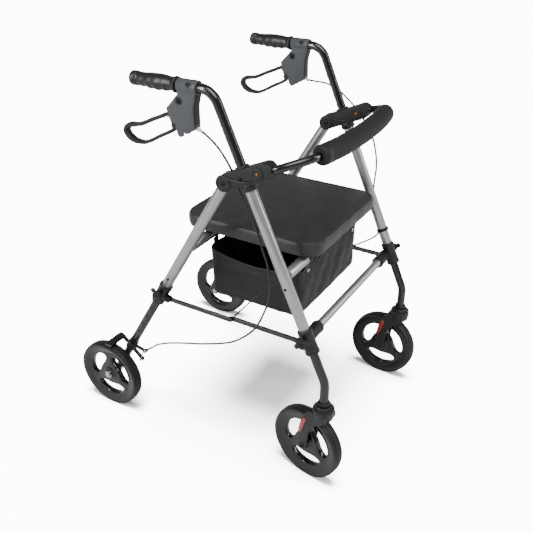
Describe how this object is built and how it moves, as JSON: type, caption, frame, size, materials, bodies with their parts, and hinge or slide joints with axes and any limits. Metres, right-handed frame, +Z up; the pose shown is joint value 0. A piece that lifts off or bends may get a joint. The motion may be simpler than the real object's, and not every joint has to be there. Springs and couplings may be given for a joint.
{
  "type": "rollator walker",
  "caption": "Folding walking frame with casters in front, braked wheels behind, a padded seat over a bag, a bowed back bar and hand brakes.",
  "frame": {"origin": "on the ground, under the middle of the walker's outline", "axes": "+Z up, the walker rolls towards -Y, the user's right hand is at -X"},
  "size_m": [0.603, 0.8111, 0.9707],
  "materials": {
    "silver_tube": "satin anodised",
    "black_tube": "gloss powder coat",
    "black_nylon": "moulded",
    "charcoal_plastic": "moulded",
    "grip_rubber": "moulded",
    "foam": "closed-cell foam skin",
    "tyre": "moulded",
    "wheel_plastic": "gloss",
    "zinc_steel": "zinc plated",
    "vinyl": "grained vinyl",
    "seat_board": "painted plywood",
    "bag_fabric": "woven polyester",
    "cable_sheath": "smooth sheath"
  },
  "bodies": {
    "front_frame": {"front_leg_right": "silver_tube", "front_leg_left": "silver_tube", "front_cross_bar": "silver_tube", "front_seat_tube": "silver_tube", "bracket_right": "black_nylon", "bracket_left": "black_nylon", "front_fitting_right": "black_nylon", "front_fitting_left": "black_nylon", "bag": "bag_fabric", "pull_cord_right": "cable_sheath", "pull_cord_left": "cable_sheath", "brake_cable_right": "cable_sheath", "brake_cable_left": "cable_sheath"},
    "rear_frame": {"rear_leg_right": "silver_tube", "rear_leg_left": "silver_tube", "rear_seat_tube": "silver_tube", "rear_fitting_right": "black_nylon", "rear_fitting_left": "black_nylon"},
    "seat": {"seat_pad": "vinyl", "seat_board": "seat_board"},
    "backrest": {"backrest_tube": "black_tube", "backrest_foam": "foam"},
    "handle_right": {"handle_post_right": "black_tube", "grip_right": "grip_rubber", "brake_housing_right": "charcoal_plastic"},
    "handle_left": {"handle_post_left": "black_tube", "grip_left": "grip_rubber", "brake_housing_left": "charcoal_plastic"},
    "lever_right": {"brake_lever_right": "black_nylon"},
    "lever_left": {"brake_lever_left": "black_nylon"},
    "front_lower_right": {"front_lower_leg_right": "black_tube"},
    "front_lower_left": {"front_lower_leg_left": "black_tube"},
    "caster_right": {"caster_fork_right": "charcoal_plastic", "front_axle_right": "zinc_steel"},
    "caster_left": {"caster_fork_left": "charcoal_plastic", "front_axle_left": "zinc_steel"},
    "front_wheel_right": {"front_right_wheel": "wheel_plastic", "front_right_tyre": "tyre"},
    "front_wheel_left": {"front_left_wheel": "wheel_plastic", "front_left_tyre": "tyre"},
    "rear_lower_right": {"rear_lower_leg_right": "black_tube", "brake_bracket_right": "black_nylon", "rear_axle_right": "zinc_steel"},
    "rear_lower_left": {"rear_lower_leg_left": "black_tube", "brake_bracket_left": "black_nylon", "rear_axle_left": "zinc_steel"},
    "rear_wheel_right": {"rear_right_wheel": "wheel_plastic", "rear_right_tyre": "tyre"},
    "rear_wheel_left": {"rear_left_wheel": "wheel_plastic", "rear_left_tyre": "tyre"},
    "brake_arm_right": {"brake_arm_right": "black_tube"},
    "brake_arm_left": {"brake_arm_left": "black_tube"},
    "front_knob_right": {"front_wing_knob_right": "black_nylon"},
    "front_knob_left": {"front_wing_knob_left": "black_nylon"},
    "rear_knob_right": {"rear_wing_knob_right": "black_nylon"},
    "rear_knob_left": {"rear_wing_knob_left": "black_nylon"},
    "strut_front_right": {"strut_front_right": "black_tube"},
    "strut_front_left": {"strut_front_left": "black_tube"},
    "strut_rear_right": {"strut_rear_right": "black_tube"},
    "strut_rear_left": {"strut_rear_left": "black_tube"}
  },
  "joints": [
    {"name": "fold", "type": "hinge", "parent": "front_frame", "child": "rear_frame", "pos_m": [0, -0.091, 0.758], "axis": [1, 0, 0], "range_deg": [-30, 0], "deforming": ["bag", "pull_cord_right", "pull_cord_left", "brake_cable_right", "brake_cable_left"]},
    {"name": "seat_tilt", "type": "hinge", "parent": "front_frame", "child": "seat", "pos_m": [0, -0.23716, 0.558], "axis": [1, 0, 0], "range_deg": [0, 75]},
    {"name": "backrest_flip", "type": "hinge", "parent": "front_frame", "child": "backrest", "pos_m": [0, -0.17736, 0.79636], "axis": [1, 0, 0], "range_deg": [-90, 0]},
    {"name": "handle_height_right", "type": "slide", "parent": "front_frame", "child": "handle_right", "axis": [0, 0.4059, 0.9139], "range_m": [-0.05, 0.08], "deforming": ["brake_cable_right"]},
    {"name": "handle_height_left", "type": "slide", "parent": "front_frame", "child": "handle_left", "axis": [0, 0.4059, 0.9139], "range_m": [-0.05, 0.08], "deforming": ["brake_cable_left"]},
    {"name": "brake_lever_right", "type": "hinge", "parent": "handle_right", "child": "lever_right", "pos_m": [-0.25, 0.01864, 0.9223], "axis": [1, 0, 0], "range_deg": [0, 14], "stiffness_Nm_per_rad": 1, "springref_deg": -5.73},
    {"name": "brake_lever_left", "type": "hinge", "parent": "handle_left", "child": "lever_left", "pos_m": [0.25, 0.01864, 0.9223], "axis": [1, 0, 0], "range_deg": [0, 14], "stiffness_Nm_per_rad": 1, "springref_deg": -5.73},
    {"name": "front_leg_height_right", "type": "slide", "parent": "front_frame", "child": "front_lower_right", "axis": [0, 0.4059, 0.9139], "range_m": [-0.04, 0.04]},
    {"name": "front_leg_height_left", "type": "slide", "parent": "front_frame", "child": "front_lower_left", "axis": [0, 0.4059, 0.9139], "range_m": [-0.04, 0.04]},
    {"name": "caster_swivel_right", "type": "hinge", "parent": "front_lower_right", "child": "caster_right", "pos_m": [-0.25, -0.35, 0.24], "axis": [0, 0, 1], "continuous": true},
    {"name": "caster_swivel_left", "type": "hinge", "parent": "front_lower_left", "child": "caster_left", "pos_m": [0.25, -0.35, 0.24], "axis": [0, 0, 1], "continuous": true},
    {"name": "front_wheel_roll_right", "type": "hinge", "parent": "caster_right", "child": "front_wheel_right", "pos_m": [-0.24168, -0.30679, 0.09914], "axis": [0.982, -0.1891, 0], "continuous": true},
    {"name": "front_wheel_roll_left", "type": "hinge", "parent": "caster_left", "child": "front_wheel_left", "pos_m": [0.25322, -0.30612, 0.09914], "axis": [0.9973, -0.0732, 0], "continuous": true},
    {"name": "rear_leg_height_right", "type": "slide", "parent": "rear_frame", "child": "rear_lower_right", "axis": [0, -0.5165, 0.8563], "range_m": [-0.04, 0.04], "deforming": ["brake_cable_right"]},
    {"name": "rear_leg_height_left", "type": "slide", "parent": "rear_frame", "child": "rear_lower_left", "axis": [0, -0.5165, 0.8563], "range_m": [-0.04, 0.04], "deforming": ["brake_cable_left"]},
    {"name": "rear_wheel_roll_right", "type": "hinge", "parent": "rear_lower_right", "child": "rear_wheel_right", "pos_m": [-0.282, 0.30645, 0.09914], "axis": [1, 0, 0], "continuous": true},
    {"name": "rear_wheel_roll_left", "type": "hinge", "parent": "rear_lower_left", "child": "rear_wheel_left", "pos_m": [0.282, 0.30645, 0.09914], "axis": [1, 0, 0], "continuous": true},
    {"name": "brake_arm_right", "type": "hinge", "parent": "rear_lower_right", "child": "brake_arm_right", "pos_m": [-0.25, 0.25978, 0.1765], "axis": [1, 0, 0], "range_deg": [-4.2, 0]},
    {"name": "brake_arm_left", "type": "hinge", "parent": "rear_lower_left", "child": "brake_arm_left", "pos_m": [0.25, 0.25978, 0.1765], "axis": [1, 0, 0], "range_deg": [-4.2, 0]},
    {"name": "front_knob_turn_right", "type": "hinge", "parent": "front_frame", "child": "front_knob_right", "pos_m": [-0.25, -0.30112, 0.414], "axis": [1, 0, 0], "continuous": true},
    {"name": "front_knob_turn_left", "type": "hinge", "parent": "front_frame", "child": "front_knob_left", "pos_m": [0.25, -0.30112, 0.414], "axis": [1, 0, 0], "continuous": true},
    {"name": "rear_knob_turn_right", "type": "hinge", "parent": "rear_frame", "child": "rear_knob_right", "pos_m": [-0.25, 0.11651, 0.414], "axis": [1, 0, 0], "continuous": true},
    {"name": "rear_knob_turn_left", "type": "hinge", "parent": "rear_frame", "child": "rear_knob_left", "pos_m": [0.25, 0.11651, 0.414], "axis": [1, 0, 0], "continuous": true},
    {"name": "strut_front_right", "type": "hinge", "parent": "front_frame", "child": "strut_front_right", "pos_m": [-0.25, -0.278, 0.397], "axis": [1, 0, 0], "range_deg": [0, 47.2]},
    {"name": "strut_front_left", "type": "hinge", "parent": "front_frame", "child": "strut_front_left", "pos_m": [0.25, -0.278, 0.397], "axis": [1, 0, 0], "range_deg": [0, 47.2]},
    {"name": "strut_rear_right", "type": "hinge", "parent": "rear_frame", "child": "strut_rear_right", "pos_m": [-0.25, 0.0975, 0.397], "axis": [1, 0, 0], "range_deg": [-47.5, 0]},
    {"name": "strut_rear_left", "type": "hinge", "parent": "rear_frame", "child": "strut_rear_left", "pos_m": [0.25, 0.0975, 0.397], "axis": [1, 0, 0], "range_deg": [-47.5, 0]}
  ],
  "couplings": [
    {"joint": "seat_tilt", "follows": "fold", "ratio": -2.5},
    {"joint": "strut_front_right", "follows": "fold", "ratio": -1.565},
    {"joint": "strut_front_left", "follows": "fold", "ratio": -1.565},
    {"joint": "strut_rear_right", "follows": "fold", "ratio": 1.5735},
    {"joint": "strut_rear_left", "follows": "fold", "ratio": 1.5735},
    {"joint": "brake_arm_right", "follows": "brake_lever_right", "ratio": -0.3},
    {"joint": "brake_arm_left", "follows": "brake_lever_left", "ratio": -0.3}
  ]
}
